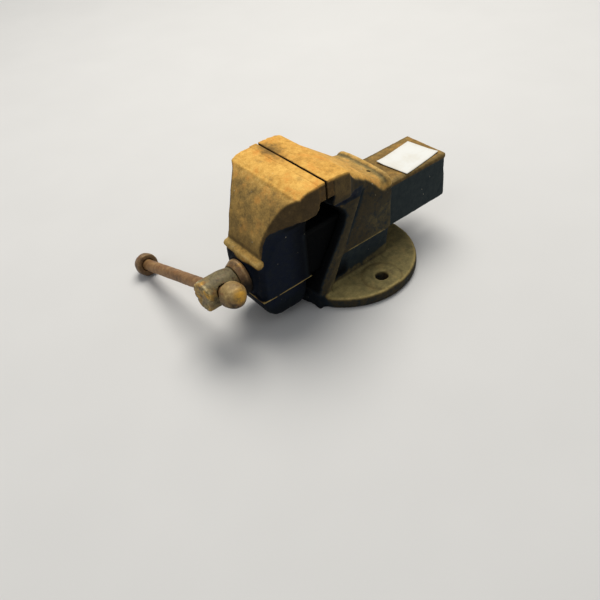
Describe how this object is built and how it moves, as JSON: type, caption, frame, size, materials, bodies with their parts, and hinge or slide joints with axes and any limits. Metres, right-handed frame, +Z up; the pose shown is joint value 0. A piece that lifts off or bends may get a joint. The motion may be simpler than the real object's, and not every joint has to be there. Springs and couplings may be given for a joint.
{
  "type": "bench vise",
  "caption": "Small cast-iron bench vise with a round bolt-down base, a channel slide, jaw plates, a lead screw and a sliding tommy bar.",
  "frame": {"origin": "on the bench, at the centre of the round base's underside", "axes": "+Z up, +Y from the screw's handle towards the rear of the slide, +X to the right seen from the handle"},
  "size_m": [0.1167, 0.152, 0.0765],
  "materials": {
    "dark_casting": "old dark paint worn to brown rust",
    "rusty_casting": "ochre rust with remains of navy paint",
    "jaw_steel": "ochre rust over steel",
    "worn_steel": "brown patina, worn by hands",
    "bare_steel": "oily grey steel with rust specks",
    "label_paper": "matt white paper"
  },
  "bodies": {
    "body": {"fixed_body": "dark_casting", "rear_jaw_plate": "jaw_steel", "rear_plate_screw_left": "bare_steel", "rear_plate_screw_right": "bare_steel", "screw_nut": "dark_casting", "nut_bolt": "bare_steel", "nut_bolt_washer": "bare_steel"},
    "jaw": {"moving_jaw": "rusty_casting", "front_jaw_plate": "jaw_steel", "front_plate_screw_left": "bare_steel", "front_plate_screw_right": "bare_steel", "paper_label": "label_paper"},
    "screw": {"lead_screw": "worn_steel", "thrust_collar": "worn_steel", "screw_spring": "bare_steel", "spring_washer": "bare_steel", "split_pin": "bare_steel"},
    "bar": {"tommy_bar": "worn_steel", "bar_knob_left": "worn_steel", "bar_knob_right": "worn_steel"}
  },
  "joints": [
    {"name": "jaw_slide", "type": "slide", "parent": "body", "child": "jaw", "axis": [0, -1, 0], "range_m": [-0.0007, 0.0508]},
    {"name": "screw_turn", "type": "hinge", "parent": "jaw", "child": "screw", "pos_m": [0, -0.0802, 0.0298], "axis": [0, -1, 0], "range_deg": [-80, 5761]},
    {"name": "bar_slide", "type": "slide", "parent": "screw", "child": "bar", "axis": [0.95, 0.0576, 0.3068], "range_m": [-0.0028, 0.064]}
  ],
  "couplings": [
    {"joint": "screw_turn", "follows": "jaw_slide", "rad_per_m": 1979}
  ]
}
